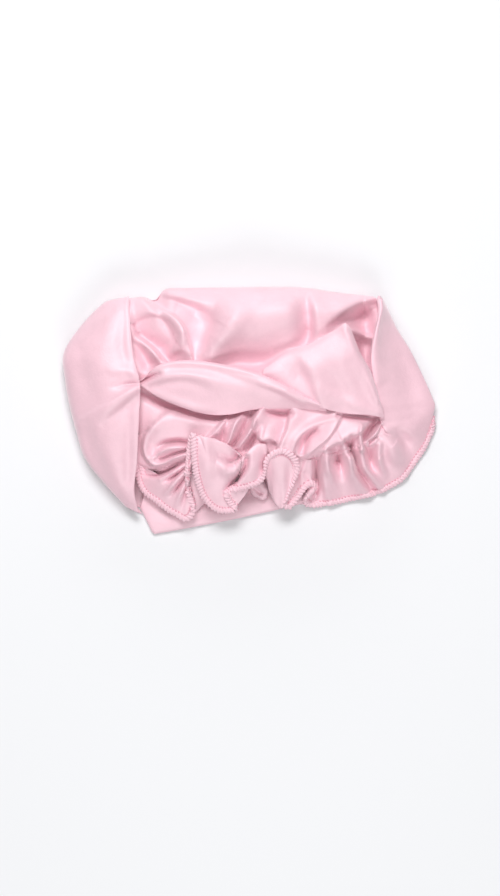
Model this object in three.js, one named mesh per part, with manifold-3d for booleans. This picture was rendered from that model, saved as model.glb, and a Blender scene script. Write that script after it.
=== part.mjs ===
// A satin sleep bonnet, folded up loosely and lying flat with its ruffle towards the front.
// The crown is one bag of cloth: a floor layer, a puffed top whose rim rolls down to the floor, a flap
// folded over the left side, and twisted folds lying across the middle. An elastic casing gathers the
// crown round the head opening, a ruffle runs on from the casing, and a chunky overlocked hem edges it.
// Units are millimetres, +Z is up, +Y points away from the ruffle, and the origin is under the middle.
import * as THREE from 'three';
import { ConvexGeometry } from 'three/addons/geometries/ConvexGeometry.js';
import { mergeVertices } from 'three/addons/utils/BufferGeometryUtils.js';
import Module from 'manifold-3d';

const wasm = await Module();
wasm.setup();

// Driving sizes
const BUNDLE_WIDTH = 187;
const BUNDLE_DEPTH = 125;
const BUNDLE_HEIGHT = 40;
const CLOTH = 1.2;
const FLOOR_CLOTH = 1.6;
const CASING_WIDTH = 7;
const CASING_THICKNESS = 2.4;
const HEM_WIDTH = 4.2;
const HEM_THICKNESS = 2.2;
const RIM_TUCK = 9;
const FOLD_ROLL = 3;
const UNDER_FOLD_RISE = 1.5;
const GAP = 0.3;

// Shares that shape the cloth
const CASING_PUCKER = 0.35;
const FLOOR_INSET = 0.98;
const BAG_SHARES = { front: 0.15, waist: 0.42, crest: 0.7, shoulder: 0.9 };
const FLAP_SHARES = { haunch: 0.08, crest: 0.5, east: 0.9 };
const FLAP_RETURN = 0.16;
const FOLD_SHOULDER = 0.12;
const FOLD_RETURN = 0.2;
const CREASED_FROM = 0.3;
const CREASED_FULLY = 0.45;

// How finely the cloth is divided
const BAG_ROWS = 25;
const BAG_STEPS = 12;
const FLAP_ROWS = 12;
const FLAP_STEPS = 9;
const FOLD_ROWS = 10;
const FOLD_STEPS = 8;
const RUFFLE_STEPS = 7;
const CASING_STATIONS = 70;
const SECTION_SIDES = 6;
const RING_STEP = 0.2;
const STAGGER = 0.05;
const MERGE_DISTANCE = 1e-4;

const SATIN = { color: 0xf1cdd9, roughness: 0.38, metalness: 0 };
const THREAD = { color: 0xf3b4c4, roughness: 0.8, metalness: 0 };

// In the tables, x is a share of half the bundle's width, y of half its depth, and z of its height.

// The casing, from the left end of its front run, round the right end, and back along its hidden run.
const RING = [
  { x: -0.501, y: -0.512, z: 0.3 },
  { x: -0.421, y: -0.456, z: 0.4 },
  { x: -0.33, y: -0.408, z: 0.45 },
  { x: -0.206, y: -0.368, z: 0.463 },
  { x: -0.078, y: -0.352, z: 0.463 },
  { x: 0.062, y: -0.368, z: 0.45 },
  { x: 0.18, y: -0.4, z: 0.45 },
  { x: 0.287, y: -0.416, z: 0.438 },
  { x: 0.394, y: -0.384, z: 0.425 },
  { x: 0.512, y: -0.336, z: 0.412 },
  { x: 0.619, y: -0.288, z: 0.388 },
  { x: 0.71, y: -0.184, z: 0.362 },
  { x: 0.764, y: -0.008, z: 0.325 },
  { x: 0.78, y: 0.192, z: 0.287 },
  { x: 0.759, y: 0.376, z: 0.25 },
  { x: 0.71, y: 0.496, z: 0.188 },
  { x: 0.619, y: 0.432, z: 0.1 },
  { x: 0.48, y: 0.184, z: 0.065 },
  { x: 0.308, y: -0.032, z: 0.065 },
  { x: 0.131, y: -0.208, z: 0.08 },
  { x: -0.056, y: -0.352, z: 0.087 },
  { x: -0.271, y: -0.472, z: 0.105 },
  { x: -0.426, y: -0.568, z: 0.175 },
];

// The corners of the ring between which the floor layer ends at the hidden run.
const FLOOR_CASING_CORNERS = [15.4, 16, 16.5, 17, 17.5, 18, 18.5];

// The top of the bag, from left to right: a corner of the ring, the rim there, and heights on the way.
const BAG = [
  { ring: 1, rim: [-0.93, -0.192], front: 0.362, waist: 0.275, crest: 0.275, shoulder: 0.225, bulge: 0.125 },
  { ring: 1.6, rim: [-0.984, 0.176], front: 0.5, waist: 0.375, crest: 0.3, shoulder: 0.25, bulge: 0.125 },
  { ring: 2.2, rim: [-0.952, 0.496], front: 0.55, waist: 0.475, crest: 0.375, shoulder: 0.275, bulge: 0.125 },
  { ring: 2.9, rim: [-0.78, 0.816], front: 0.55, waist: 0.525, crest: 0.5, shoulder: 0.375, bulge: 0.15 },
  { ring: 3.6, rim: [-0.592, 0.9], front: 0.55, waist: 0.575, crest: 0.675, shoulder: 0.525, bulge: 0.175 },
  { ring: 4.3, rim: [-0.378, 0.94], front: 0.575, waist: 0.575, crest: 0.75, shoulder: 0.625, bulge: 0.2 },
  { ring: 5.1, rim: [-0.153, 0.964], front: 0.575, waist: 0.575, crest: 0.8, shoulder: 0.675, bulge: 0.225 },
  { ring: 6, rim: [0.072, 0.972], front: 0.575, waist: 0.575, crest: 0.825, shoulder: 0.7, bulge: 0.225 },
  { ring: 7, rim: [0.282, 0.964], front: 0.562, waist: 0.575, crest: 0.775, shoulder: 0.675, bulge: 0.225 },
  { ring: 8.2, rim: [0.437, 0.932], front: 0.55, waist: 0.55, crest: 0.65, shoulder: 0.6, bulge: 0.225 },
  { ring: 9.4, rim: [0.55, 0.912], front: 0.525, waist: 0.525, crest: 0.55, shoulder: 0.5, bulge: 0.2 },
  { ring: 10.6, rim: [0.609, 0.888], front: 0.388, waist: 0.425, crest: 0.425, shoulder: 0.4, bulge: 0.175 },
  { ring: 11.8, rim: [0.641, 0.856], front: 0.32, waist: 0.338, crest: 0.35, shoulder: 0.3, bulge: 0.15 },
  { ring: 13.2, rim: [0.662, 0.776], front: 0.25, waist: 0.263, crest: 0.263, shoulder: 0.237, bulge: 0.125 },
];

// The left flap, from the back to the front.
const LEFT_FLAP = [
  { west: [-0.769, 0.856], haunch: 0.225, crest: 0.325, east: [-0.646, 0.88, 0.425] },
  { west: [-0.893, 0.68], haunch: 0.275, crest: 0.5, east: [-0.635, 0.624, 0.6] },
  { west: [-0.995, 0.448], haunch: 0.325, crest: 0.55, east: [-0.619, 0.4, 0.65] },
  { west: [-0.989, 0.24], haunch: 0.35, crest: 0.575, east: [-0.587, 0.208, 0.675] },
  { west: [-0.968, 0.048], haunch: 0.35, crest: 0.55, east: [-0.587, 0.048, 0.65] },
  { west: [-0.93, -0.176], haunch: 0.325, crest: 0.5, east: [-0.595, -0.192, 0.6] },
  { west: [-0.882, -0.4], haunch: 0.275, crest: 0.425, east: [-0.603, -0.432, 0.5] },
  { west: [-0.775, -0.608], haunch: 0.225, crest: 0.3, east: [-0.619, -0.656, 0.35] },
  { west: [-0.662, -0.792], haunch: 0.15, crest: 0.175, east: [-0.598, -0.84, 0.175] },
];

// The twisted band across the middle, from left to right.
const BAND = [
  { north: [-0.576, 0.224, 0.55], crest: 0.562, south: [-0.576, 0.176, 0.55] },
  { north: [-0.485, 0.336, 0.625], crest: 0.675, south: [-0.485, 0.12, 0.625] },
  { north: [-0.351, 0.376, 0.675], crest: 0.738, south: [-0.351, 0.04, 0.662] },
  { north: [-0.206, 0.36, 0.7], crest: 0.775, south: [-0.217, -0.032, 0.675] },
  { north: [-0.067, 0.32, 0.713], crest: 0.775, south: [-0.099, -0.044, 0.675] },
  { north: [0.062, 0.264, 0.725], crest: 0.775, south: [0.024, -0.008, 0.675] },
  { north: [0.201, 0.168, 0.725], crest: 0.75, south: [0.185, 0, 0.662] },
  { north: [0.308, 0.08, 0.7], crest: 0.713, south: [0.319, -0.008, 0.65] },
  { north: [0.394, 0.024, 0.662], crest: 0.675, south: [0.416, -0.024, 0.637] },
];

// The broad fold to the right of it, which ends in a point.
const FACET = [
  { north: [0.072, 0.304, 0.65], crest: 0.662, south: [0.072, 0.224, 0.637] },
  { north: [0.185, 0.424, 0.7], crest: 0.7, south: [0.201, 0.128, 0.662] },
  { north: [0.319, 0.504, 0.725], crest: 0.688, south: [0.33, 0.032, 0.65] },
  { north: [0.453, 0.608, 0.762], crest: 0.7, south: [0.448, -0.016, 0.637] },
  { north: [0.523, 0.648, 0.787], crest: 0.713, south: [0.544, -0.04, 0.613] },
  { north: [0.587, 0.448, 0.7], crest: 0.675, south: [0.63, -0.048, 0.575] },
  { north: [0.651, 0.272, 0.625], crest: 0.613, south: [0.689, -0.064, 0.537] },
  { north: [0.7, 0.04, 0.525], crest: 0.525, south: [0.721, -0.072, 0.5] },
];

// The front fold of the floor layer, from left to right.
const UNDER_FOLD = [
  { edge: [-0.587, -0.8], inner: [-0.55, -0.608] },
  { edge: [-0.512, -0.992], inner: [-0.442, -0.544] },
  { edge: [-0.271, -0.94], inner: [-0.217, -0.496] },
  { edge: [-0.003, -0.864], inner: [0.008, -0.432] },
  { edge: [0.276, -0.78], inner: [0.212, -0.432] },
];

// Ridges and dents of the top, each along a line.
const CREASES = [
  { from: [0.292, 0.984], to: [0.282, 0.504], rise: -0.1, spread: 0.048 },
  { from: [-0.298, 0.4], to: [-0.099, 0.752], rise: 0.125, spread: 0.107 },
  { from: [-0.078, 0.784], to: [0.265, 0.928], rise: 0.113, spread: 0.091 },
  { from: [-0.099, 0.368], to: [0.265, 0.448], rise: -0.1, spread: 0.107 },
  { from: [-0.405, 0.848], to: [-0.239, 0.496], rise: -0.1, spread: 0.064 },
  { from: [-0.539, 0.864], to: [-0.399, 0.656], rise: 0.075, spread: 0.048 },
  { from: [-0.389, 0.688], to: [-0.319, 0.416], rise: 0.087, spread: 0.048 },
  { from: [-0.528, 0.64], to: [-0.399, 0.464], rise: -0.1, spread: 0.07 },
  { from: [0.609, 0.72], to: [0.576, 0.416], rise: -0.15, spread: 0.064 },
  { from: [0.507, 0.664], to: [0.662, 0.864], rise: 0.075, spread: 0.048 },
  { from: [-0.458, -0.16], to: [-0.485, -0.304], rise: 0.1, spread: 0.075 },
  { from: [0.496, -0.04], to: [0.287, -0.4], rise: 0.062, spread: 0.043 },
  { from: [0.71, -0.08], to: [0.362, -0.392], rise: 0.062, spread: 0.043 },
  { from: [-0.078, -0.336], to: [-0.131, -0.064], rise: 0.05, spread: 0.032 },
  { from: [0.051, -0.032], to: [0.035, -0.256], rise: 0.05, spread: 0.032 },
];

// The ruffle, from the left end along the front, round the right end, and back underneath.
const RUFFLE = [
  { ring: 0, bend: [-0.55, -0.48, 0.287], hem: [-0.595, -0.408, 0.263] },
  { ring: 0.45, bend: [-0.534, -0.544, 0.3], hem: [-0.602, -0.496, 0.24] },
  { ring: 0.85, bend: [-0.496, -0.576, 0.338], hem: [-0.587, -0.6, 0.22] },
  { ring: 1.2, bend: [-0.458, -0.608, 0.362], hem: [-0.555, -0.68, 0.2] },
  { ring: 1.5, bend: [-0.432, -0.632, 0.362], hem: [-0.501, -0.736, 0.2] },
  { ring: 1.7, bend: [-0.405, -0.656, 0.362], hem: [-0.448, -0.8, 0.2] },
  { ring: 1.9, bend: [-0.378, -0.672, 0.35], hem: [-0.394, -0.848, 0.2] },
  { ring: 2.1, bend: [-0.351, -0.672, 0.35], hem: [-0.34, -0.888, 0.2] },
  { ring: 2.3, bend: [-0.324, -0.632, 0.375], hem: [-0.303, -0.824, 0.237] },
  { ring: 2.45, bend: [-0.324, -0.544, 0.438], hem: [-0.319, -0.712, 0.312] },
  { ring: 2.6, bend: [-0.319, -0.464, 0.537], hem: [-0.332, -0.56, 0.45] },
  { ring: 2.75, bend: [-0.308, -0.4, 0.613], hem: [-0.33, -0.392, 0.6] },
  { ring: 2.95, bend: [-0.239, -0.312, 0.675], hem: [-0.298, -0.212, 0.7] },
  { ring: 3.2, bend: [-0.206, -0.4, 0.65], hem: [-0.292, -0.376, 0.65] },
  { ring: 3.4, bend: [-0.185, -0.48, 0.588], hem: [-0.271, -0.592, 0.5] },
  { ring: 3.55, bend: [-0.153, -0.536, 0.525], hem: [-0.233, -0.72, 0.375] },
  { ring: 3.7, bend: [-0.121, -0.576, 0.5], hem: [-0.174, -0.792, 0.325] },
  { ring: 3.85, bend: [-0.078, -0.6, 0.463], hem: [-0.094, -0.808, 0.315] },
  { ring: 4, bend: [-0.067, -0.56, 0.412], hem: [-0.078, -0.776, 0.32] },
  { ring: 4.1, bend: [-0.072, -0.512, 0.4], hem: [-0.115, -0.72, 0.338] },
  { ring: 4.25, bend: [-0.056, -0.496, 0.425], hem: [-0.115, -0.66, 0.388] },
  { ring: 4.4, bend: [-0.024, -0.488, 0.45], hem: [-0.056, -0.652, 0.388] },
  { ring: 4.6, bend: [0.013, -0.48, 0.45], hem: [0.003, -0.62, 0.388] },
  { ring: 4.8, bend: [0.051, -0.48, 0.425], hem: [0.056, -0.588, 0.4] },
  { ring: 5, bend: [0.083, -0.56, 0.362], hem: [0.083, -0.504, 0.487] },
  { ring: 5.2, bend: [0.11, -0.656, 0.312], hem: [0.097, -0.416, 0.575] },
  { ring: 5.5, bend: [0.137, -0.736, 0.31], hem: [0.131, -0.364, 0.625] },
  { ring: 5.8, bend: [0.164, -0.784, 0.3], hem: [0.18, -0.344, 0.637] },
  { ring: 6.1, bend: [0.185, -0.784, 0.3], hem: [0.228, -0.384, 0.6] },
  { ring: 6.4, bend: [0.201, -0.736, 0.315], hem: [0.255, -0.464, 0.525] },
  { ring: 6.6, bend: [0.212, -0.656, 0.325], hem: [0.239, -0.576, 0.438] },
  { ring: 6.75, bend: [0.223, -0.608, 0.338], hem: [0.212, -0.672, 0.35] },
  { ring: 6.9, bend: [0.233, -0.592, 0.325], hem: [0.19, -0.76, 0.3] },
  { ring: 7, bend: [0.249, -0.576, 0.325], hem: [0.212, -0.792, 0.25] },
  { ring: 7.1, bend: [0.265, -0.552, 0.338], hem: [0.255, -0.72, 0.263] },
  { ring: 7.2, bend: [0.282, -0.528, 0.362], hem: [0.298, -0.632, 0.312] },
  { ring: 7.35, bend: [0.303, -0.528, 0.338], hem: [0.335, -0.6, 0.275] },
  { ring: 7.5, bend: [0.324, -0.552, 0.287], hem: [0.351, -0.648, 0.188] },
  { ring: 7.65, bend: [0.335, -0.584, 0.237], hem: [0.324, -0.728, 0.1] },
  { ring: 7.85, bend: [0.367, -0.6, 0.225], hem: [0.351, -0.776, 0.062] },
  { ring: 8.2, bend: [0.432, -0.584, 0.237], hem: [0.448, -0.76, 0.055] },
  { ring: 8.7, bend: [0.523, -0.536, 0.263], hem: [0.544, -0.728, 0.055] },
  { ring: 9.3, bend: [0.609, -0.496, 0.275], hem: [0.651, -0.692, 0.055] },
  { ring: 9.9, bend: [0.694, -0.44, 0.275], hem: [0.748, -0.636, 0.055] },
  { ring: 10.4, bend: [0.759, -0.368, 0.275], hem: [0.828, -0.556, 0.055] },
  { ring: 10.9, bend: [0.812, -0.272, 0.275], hem: [0.898, -0.416, 0.055] },
  { ring: 11.4, bend: [0.85, -0.152, 0.287], hem: [0.957, -0.272, 0.055] },
  { ring: 11.9, bend: [0.871, -0.032, 0.3], hem: [0.995, -0.136, 0.068] },
  { ring: 12.4, lap: [0.705, 0.096, 0.463], bend: [0.984, 0.056, 0.15], hem: [0.925, 0.024, 0.055] },
  { ring: 13, lap: [0.678, 0.272, 0.512], bend: [0.93, 0.256, 0.163], hem: [0.866, 0.208, 0.055] },
  { ring: 13.6, lap: [0.662, 0.44, 0.537], bend: [0.861, 0.472, 0.175], hem: [0.807, 0.408, 0.055] },
  { ring: 14.1, lap: [0.673, 0.6, 0.537], bend: [0.796, 0.632, 0.175], hem: [0.759, 0.552, 0.055] },
  { ring: 14.5, lap: [0.689, 0.752, 0.5], bend: [0.748, 0.776, 0.188], hem: [0.737, 0.656, 0.055] },
  { ring: 14.9, lap: [0.705, 0.848, 0.4], bend: [0.721, 0.864, 0.225], hem: [0.737, 0.704, 0.055] },
  { ring: 15.5, bend: [0.751, 0.568, 0.13], hem: [0.769, 0.52, 0.057] },
  { ring: 16.2, bend: [0.662, 0.352, 0.075], hem: [0.727, 0.272, 0.055] },
  { ring: 17, bend: [0.539, 0.096, 0.065], hem: [0.619, -0.016, 0.055] },
  { ring: 18, bend: [0.362, -0.136, 0.07], hem: [0.426, -0.272, 0.06] },
  { ring: 19, bend: [0.174, -0.328, 0.095], hem: [0.223, -0.464, 0.115] },
  { ring: 20, bend: [-0.024, -0.48, 0.105], hem: [0.008, -0.608, 0.12] },
  { ring: 21, bend: [-0.244, -0.584, 0.11], hem: [-0.239, -0.712, 0.12] },
  { ring: 22, bend: [-0.437, -0.656, 0.14], hem: [-0.475, -0.728, 0.125] },
  { ring: 22.5, bend: [-0.507, -0.608, 0.2], hem: [-0.555, -0.608, 0.195] },
];

const place = ([x, y, z = 0]) =>
  new THREE.Vector3((x * BUNDLE_WIDTH) / 2, (y * BUNDLE_DEPTH) / 2, z * BUNDLE_HEIGHT);

// A place at a share of the way between two others, at a height of its own.
function between(start, end, share, height) {
  return new THREE.Vector3().lerpVectors(start, end, share).setZ(height);
}

// The part of a direction that is square to another one.
const squaredTo = (along, out) => out.clone().addScaledVector(along, -out.dot(along)).normalize();

// Joins places with a smooth curve and gives a number of evenly spaced places on it.
function smooth(places, count, closed = false) {
  const curve = new THREE.CatmullRomCurve3(places, closed, 'catmullrom', 0.5);
  const last = closed ? count : count - 1;
  return Array.from({ length: count }, (_, i) => curve.getPoint(i / last));
}

// Lofts a grid of places through sections that have the same number of places.
function loft(sections, rows, steps, closed = false) {
  const lines = sections[0].map((_, j) => smooth(sections.map((section) => section[j]), rows, closed));
  return Array.from({ length: rows }, (_, i) => smooth(lines.map((line) => line[i]), steps));
}

// Lifts the places that a smooth curve has carried below the middle of the floor layer.
const offFloor = (grid) => grid.map((row) => row.map((at) => at.setZ(Math.max(at.z, FLOOR_CLOTH / 2))));

// The cloth's normal at each place of a grid.
function normalsOf(grid, closed) {
  const rows = grid.length;
  const steps = grid[0].length;
  return grid.map((row, i) =>
    row.map((_, j) => {
      const before = closed ? grid[(i + rows - 1) % rows][j] : grid[Math.max(i - 1, 0)][j];
      const after = closed ? grid[(i + 1) % rows][j] : grid[Math.min(i + 1, rows - 1)][j];
      const along = new THREE.Vector3().subVectors(after, before);
      const across = new THREE.Vector3().subVectors(row[Math.min(j + 1, steps - 1)], row[Math.max(j - 1, 0)]);
      return along.cross(across).normalize();
    }),
  );
}

// A closed geometry as a solid. Corners that share a place are merged.
function solidOf(geometry) {
  geometry.deleteAttribute('normal');
  geometry.deleteAttribute('uv');
  const merged = mergeVertices(geometry, MERGE_DISTANCE);
  return new wasm.Manifold(
    new wasm.Mesh({
      numProp: 3,
      vertProperties: merged.attributes.position.array,
      triVerts: new Uint32Array(merged.index.array),
    }),
  );
}

// The smallest convex solid round some places, each moved away from their middle by a swell.
function wrapped(places, swell) {
  const middle = places.reduce((sum, at) => sum.add(at), new THREE.Vector3()).divideScalar(places.length);
  const moved = places.map((at) => at.clone().addScaledVector(at.clone().sub(middle).normalize(), swell));
  return solidOf(new ConvexGeometry(moved));
}

// Gives a grid of places the cloth's thickness, with a small convex block for each mesh of the grid.
// A clearance makes every block that much larger all round.
function clothFrom(grid, clearance = 0, closed = false) {
  const normals = normalsOf(grid, closed);
  const half = CLOTH / 2 + clearance;
  const faces = grid.map((row, i) =>
    row.map((at, j) => [half, -half].map((offset) => at.clone().addScaledVector(normals[i][j], offset))),
  );
  const blocks = [];
  for (let i = closed ? 0 : 1; i < grid.length; i += 1) {
    const before = faces[(i + grid.length - 1) % grid.length];
    for (let j = 1; j < faces[i].length; j += 1) {
      blocks.push(wrapped([...before[j - 1], ...before[j], ...faces[i][j - 1], ...faces[i][j]], clearance));
    }
  }
  return wasm.Manifold.union(blocks);
}

// A flat oval section round a place, wide along one direction and thin across it. Its corners are staggered,
// so that the blocks on both sides of it overlap there.
function ovalAt(centre, wide, thin, width, thickness) {
  const along = new THREE.Vector3().crossVectors(wide, thin);
  return Array.from({ length: SECTION_SIDES }, (_, k) => {
    const turn = (2 * Math.PI * (k + 0.5)) / SECTION_SIDES;
    return centre
      .clone()
      .addScaledVector(wide, (Math.cos(turn) * width) / 2)
      .addScaledVector(thin, (Math.sin(turn) * thickness) / 2)
      .addScaledVector(along, k % 2 ? STAGGER : -STAGGER);
  });
}

// A closed loop of flat ovals. Each station has a place, the way that its width lies, and its thickness.
function loopOf(stations, width, clearance = 0) {
  const n = stations.length;
  const sections = stations.map(({ at, out, thickness }, i) => {
    const [before, after] = [stations[(i + n - 1) % n].at, stations[(i + 1) % n].at];
    const along = new THREE.Vector3().subVectors(after, before).normalize();
    const wide = squaredTo(along, out);
    const thin = new THREE.Vector3().crossVectors(along, wide).normalize();
    return ovalAt(at, wide, thin, width + 2 * clearance, thickness + 2 * clearance);
  });
  const spans = sections.map((section, i) => [...section, ...sections[(i + 1) % n]]);
  return wasm.Manifold.union(spans.map((span) => wrapped(span, clearance)));
}

// The casing's centre line. The ring's corners are at whole numbers.
const ringCurve = new THREE.CatmullRomCurve3(RING.map(({ x, y, z }) => place([x, y, z])), true);
const ringPoint = (corner) => ringCurve.getPoint(THREE.MathUtils.euclideanModulo(corner / RING.length, 1));

// The way that the ruffle leaves the casing, worked out from the two rows of its table beside a corner.
function ruffleDirection(corner) {
  const away = (row) => place(row.lap ?? row.bend).sub(ringPoint(row.ring)).normalize();
  const next = Math.max(RUFFLE.findIndex((row) => row.ring > corner), 0);
  const after = RUFFLE[next];
  const before = RUFFLE[(next + RUFFLE.length - 1) % RUFFLE.length];
  const span = (after.ring - before.ring + RING.length) % RING.length;
  const share = THREE.MathUtils.euclideanModulo(corner - before.ring, RING.length) / span;
  return away(before).lerp(away(after), share).normalize();
}

// Where a cloth meets the casing: on its ruffle side for 1, and on its crown side for -1.
function besideCasing(corner, side) {
  const along = ringPoint(corner + RING_STEP).sub(ringPoint(corner - RING_STEP)).normalize();
  const wide = squaredTo(along, ruffleDirection(corner));
  return ringPoint(corner).addScaledVector(wide, side * (CASING_WIDTH / 2 + GAP));
}

// A place in the floor layer, brought in from the rim by a length.
function tuckedIn(rim, towards, length) {
  const inward = new THREE.Vector3(towards.x - rim.x, towards.y - rim.y, 0).normalize();
  return new THREE.Vector3(rim.x, rim.y, FLOOR_CLOTH / 2).addScaledVector(inward, length);
}

// Raises or lowers a place on the top of the bag by the creases near it.
function creased(at) {
  const onTop = THREE.MathUtils.smoothstep(at.z / BUNDLE_HEIGHT, CREASED_FROM, CREASED_FULLY);
  const flat = at.clone().setZ(0);
  const nearest = new THREE.Vector3();
  const rises = CREASES.map(({ from, to, rise, spread }) => {
    new THREE.Line3(place(from), place(to)).closestPointToPoint(flat, true, nearest);
    const away = nearest.distanceTo(flat) / ((spread * BUNDLE_WIDTH) / 2);
    return rise * Math.exp(-(away ** 2));
  });
  return at.clone().setZ(at.z + onTop * BUNDLE_HEIGHT * rises.reduce((sum, rise) => sum + rise, 0));
}

// The top leaves the casing, crosses the puffed middle, and rolls down over the rim and under it.
function bagTop(clearance) {
  const sections = BAG.map(({ ring, rim, bulge, ...heights }) => {
    const start = besideCasing(ring, -1);
    const end = place(rim);
    const over = Object.entries(BAG_SHARES).map(([name, share]) =>
      between(start, end, share, heights[name] * BUNDLE_HEIGHT),
    );
    const side = end.clone().setZ(bulge * BUNDLE_HEIGHT);
    return [start, ...over, side, tuckedIn(end, start, RIM_TUCK / 3), tuckedIn(end, start, RIM_TUCK)];
  });
  const grid = offFloor(loft(sections, BAG_ROWS, BAG_STEPS)).map((row) => row.map(creased));
  return clothFrom(grid, clearance);
}

// The floor layer reaches under the rim, along the front fold, and back along the casing's hidden run.
function floorLayer(clearance) {
  const inset = ([x, y]) => place([x * FLOOR_INSET, y * FLOOR_INSET]);
  const flapSide = LEFT_FLAP.map(({ west }) => inset(west)).reverse();
  const rimSide = BAG.filter(({ rim }) => rim[0] > LEFT_FLAP[0].west[0]).map(({ rim }) => inset(rim));
  const casingSide = FLOOR_CASING_CORNERS.map(ringPoint);
  const foldSide = UNDER_FOLD.map(({ edge }) => place(edge)).reverse();
  const corners = [...flapSide, ...rimSide, ...casingSide, ...foldSide];
  const outline = new THREE.Shape(corners.map(({ x, y }) => new THREE.Vector2(x, y)));
  return solidOf(new THREE.ExtrudeGeometry(outline, { depth: FLOOR_CLOTH + clearance, bevelEnabled: false }));
}

// The floor layer's front edge is folded back over itself, up to the hidden run of the casing.
function underFold(clearance) {
  const height = FLOOR_CLOTH + UNDER_FOLD_RISE - CLOTH / 2;
  const sections = UNDER_FOLD.map(({ edge, inner }) => {
    const front = place(edge);
    const back = place(inner);
    return [
      tuckedIn(front, back, RIM_TUCK),
      tuckedIn(front, back, CLOTH),
      front.clone().setZ(height / 2),
      between(front, back, FLAP_SHARES.haunch, height),
      between(front, back, FLAP_SHARES.crest, height),
      back.setZ(height),
    ];
  });
  return clothFrom(offFloor(loft(sections, FOLD_ROWS, FOLD_STEPS)), clearance);
}

// The flap comes up from the floor at the left rim, crosses the top and rolls under at its right edge.
function leftFlap(clearance) {
  const sections = LEFT_FLAP.map(({ west, haunch, crest, east }) => {
    const rim = place(west);
    const edge = place(east);
    return [
      tuckedIn(rim, edge, RIM_TUCK),
      tuckedIn(rim, edge, RIM_TUCK / 3),
      rim.clone().setZ((haunch * BUNDLE_HEIGHT) / 3),
      between(rim, edge, FLAP_SHARES.haunch, haunch * BUNDLE_HEIGHT),
      between(rim, edge, FLAP_SHARES.crest, crest * BUNDLE_HEIGHT),
      between(rim, edge, FLAP_SHARES.east, edge.z),
      edge.clone().setZ(edge.z - FOLD_ROLL / 2),
      between(edge, rim, FLAP_RETURN, edge.z - FOLD_ROLL),
    ];
  });
  return clothFrom(offFloor(loft(sections, FLAP_ROWS, FLAP_STEPS)), clearance);
}

// A fold lying on the top: an arch of cloth with both long edges rolled under.
function loneFold(table, clearance) {
  const sections = table.map(({ north, crest, south }) => {
    const [far, near] = [place(north), place(south)];
    const top = crest * BUNDLE_HEIGHT;
    return [
      between(far, near, FOLD_RETURN, far.z - FOLD_ROLL),
      far.clone().setZ(far.z - FOLD_ROLL / 2),
      between(far, near, FOLD_SHOULDER, (far.z + top) / 2),
      between(far, near, 1 / 2, top),
      between(near, far, FOLD_SHOULDER, (near.z + top) / 2),
      near.clone().setZ(near.z - FOLD_ROLL / 2),
      between(near, far, FOLD_RETURN, near.z - FOLD_ROLL),
    ];
  });
  return clothFrom(loft(sections, FOLD_ROWS, FOLD_STEPS), clearance);
}

function crownOf(clearance = 0) {
  return wasm.Manifold.union([
    bagTop(clearance),
    floorLayer(clearance),
    underFold(clearance),
    leftFlap(clearance),
    loneFold(BAND, clearance),
    loneFold(FACET, clearance),
  ]);
}

// The ruffle's rows run from the casing, by way of a lap where it folds over itself, to the hem's inner edge.
function ruffleRows() {
  const sections = RUFFLE.map(({ ring, lap, bend, hem }) => {
    const start = besideCasing(ring, 1);
    const turn = place(bend);
    const end = place(hem);
    end.addScaledVector(turn.clone().sub(end).normalize(), HEM_WIDTH / 2 + GAP);
    const over = lap ? place(lap) : new THREE.Vector3().lerpVectors(start, turn, 1 / 2);
    return [start, over, turn, end];
  });
  return loft(sections, RUFFLE.length, RUFFLE_STEPS, true);
}

// The elastic draws the casing into puckers, so its thickness goes up and down.
function casingStations() {
  return Array.from({ length: CASING_STATIONS }, (_, i) => {
    const corner = (i * RING.length) / CASING_STATIONS;
    const thickness = CASING_THICKNESS * (1 + ((i % 2 ? 1 : -1) * CASING_PUCKER) / 2);
    return { at: ringPoint(corner), out: ruffleDirection(corner), thickness };
  });
}

// The hem runs on outwards from the last place of each of the ruffle's rows.
function hemStations(rows) {
  return rows.map((row) => {
    const [inner, edge] = row.slice(-2);
    const out = edge.clone().sub(inner).normalize();
    return { at: edge.clone().addScaledVector(out, HEM_WIDTH / 2 + GAP), out, thickness: HEM_THICKNESS };
  });
}

// A cut can leave crumbs of cloth, so only the main piece is kept.
const mainPiece = (solid) =>
  solid.decompose().reduce((best, piece) => (piece.volume() > best.volume() ? piece : best));

// Where cloth lies against another piece, it is cut clear of it.
function bonnetPieces() {
  const rows = ruffleRows();
  const casing = casingStations();
  const hem = hemStations(rows);
  const roundCasing = loopOf(casing, CASING_WIDTH, GAP);
  const roundHem = loopOf(hem, HEM_WIDTH, GAP);
  const roundCrown = crownOf(GAP);
  return {
    crown: [crownOf().subtract(roundCasing), SATIN],
    elastic_casing: [loopOf(casing, CASING_WIDTH), SATIN],
    ruffle: [clothFrom(rows, 0, true).subtract(roundCasing).subtract(roundHem).subtract(roundCrown), SATIN],
    overlocked_hem: [loopOf(hem, HEM_WIDTH).subtract(roundCrown), THREAD],
  };
}

function toGeometry(solid) {
  const mesh = solid.getMesh();
  const geometry = new THREE.BufferGeometry();
  geometry.setAttribute('position', new THREE.Float32BufferAttribute(mesh.vertProperties, mesh.numProp));
  geometry.setIndex(new THREE.Uint32BufferAttribute(mesh.triVerts, 1));
  const flat = geometry.toNonIndexed();
  flat.computeVertexNormals();
  return flat;
}

const bonnet = new THREE.Group();
bonnet.name = 'sleep_bonnet';
for (const [name, [solid, finish]] of Object.entries(bonnetPieces())) {
  const mesh = new THREE.Mesh(toGeometry(mainPiece(solid)), new THREE.MeshStandardMaterial(finish));
  mesh.name = name;
  bonnet.add(mesh);
}

// The origin sits under the middle of the bundle.
const bounds = new THREE.Box3().setFromObject(bonnet);
const middle = bounds.getCenter(new THREE.Vector3());
bonnet.position.set(-middle.x, -middle.y, -bounds.min.z);

export default bonnet;
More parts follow.
